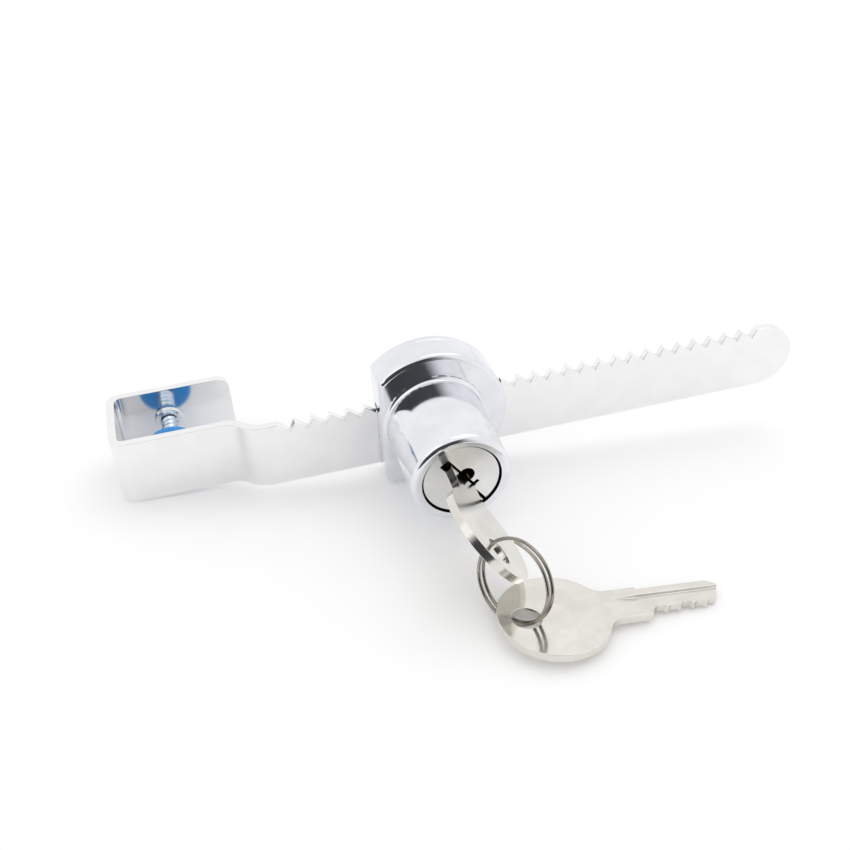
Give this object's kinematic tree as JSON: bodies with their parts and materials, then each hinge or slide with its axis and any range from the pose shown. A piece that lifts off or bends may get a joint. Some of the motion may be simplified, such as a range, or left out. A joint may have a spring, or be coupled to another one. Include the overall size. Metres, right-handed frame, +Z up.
{
  "type": "glass cabinet door lock",
  "caption": "Ratchet lock for sliding glass doors: toothed bar with a screw-clamped hook, sliding cylinder lock, key in the plug and a spare on a ring.",
  "frame": {"origin": "where the clamp screw's axis meets the glass-bearing inner face of the hook's front leaf", "axes": "+X along the bar from the hook to its round end, +Y out of the glass-bearing face into the jaw, towards the back of the cabinet, +Z up, towards the toothed edge"},
  "size_m": [0.13, 0.0814, 0.0273],
  "materials": {
    "bar_steel": "bright nickel plating on steel strip",
    "screw_zinc": "bluish zinc plating",
    "pad_plastic": "light blue moulded plastic",
    "body_chrome": "polished chrome plating on a casting",
    "rivet_steel": "plain steel",
    "plug_nickel": "satin nickel plating",
    "inner_steel": "plain steel",
    "wafer_brass": "stamped brass",
    "spring_steel": "spring wire",
    "key_nickel": "warm nickel plating, polished",
    "ring_nickel": "nickel-plated wire"
  },
  "bodies": {
    "bar": {"ratchet_bar": "bar_steel"},
    "pad": {"clamp_pad": "pad_plastic"},
    "screw": {"clamp_screw": "screw_zinc"},
    "housing": {"lock_housing": "body_chrome", "back_cover": "body_chrome", "cover_rivets": "rivet_steel", "pawl_spring": "spring_steel"},
    "plug": {"plug": "plug_nickel", "tail_pin": "inner_steel", "plug_clip": "inner_steel", "wafer_1": "wafer_brass", "wafer_2": "wafer_brass", "wafer_3": "wafer_brass", "wafer_4": "wafer_brass", "wafer_5": "wafer_brass", "wafer_spring_1": "spring_steel", "wafer_spring_2": "spring_steel", "wafer_spring_3": "spring_steel", "wafer_spring_4": "spring_steel", "wafer_spring_5": "spring_steel"},
    "pawl": {"pawl": "inner_steel"},
    "key": {"key_inserted": "key_nickel"},
    "ring": {"split_ring": "ring_nickel"},
    "spare": {"key_spare": "key_nickel"}
  },
  "joints": [
    {"name": "housing_slide", "type": "slide", "parent": "bar", "child": "housing", "axis": [1, 0, 0], "range_m": [-0.0192, 0.0576]},
    {"name": "plug_turn", "type": "hinge", "parent": "housing", "child": "plug", "pos_m": [0.0465, -0.0258, 0.00364], "axis": [0, -1, 0], "range_deg": [-36, 54]},
    {"name": "pawl_lift", "type": "slide", "parent": "housing", "child": "pawl", "axis": [0, 0, 1], "range_m": [-0.0015, 0.00225], "deforming": ["pawl_spring"]},
    {"name": "key_withdraw", "type": "slide", "parent": "plug", "child": "key", "axis": [0, -1, 0], "range_m": [0, 0.015]},
    {"name": "ring_swing", "type": "hinge", "parent": "key", "child": "ring", "pos_m": [0.0465, -0.0448, 0.00364], "axis": [0.809, 0, 0.5878], "range_deg": [-20, 20]},
    {"name": "spare_key_swing", "type": "hinge", "parent": "ring", "child": "spare", "pos_m": [0.04889, -0.05222, -0.00475], "axis": [0.1149, 0.0776, 0.9903], "range_deg": [-40, 5]},
    {"name": "pad_travel", "type": "slide", "parent": "bar", "child": "pad", "axis": [0, 1, 0], "range_m": [-0.0019, 0.0076]},
    {"name": "screw_turn", "type": "hinge", "parent": "pad", "child": "screw", "pos_m": [0, 0.0179, 0], "axis": [0, 1, 0], "range_deg": [-548.2, 2189.8]}
  ],
  "couplings": [
    {"joint": "pawl_lift", "follows": "plug_turn", "m_per_rad": 0.0023858},
    {"joint": "screw_turn", "follows": "pad_travel", "rad_per_m": 5026.5}
  ]
}
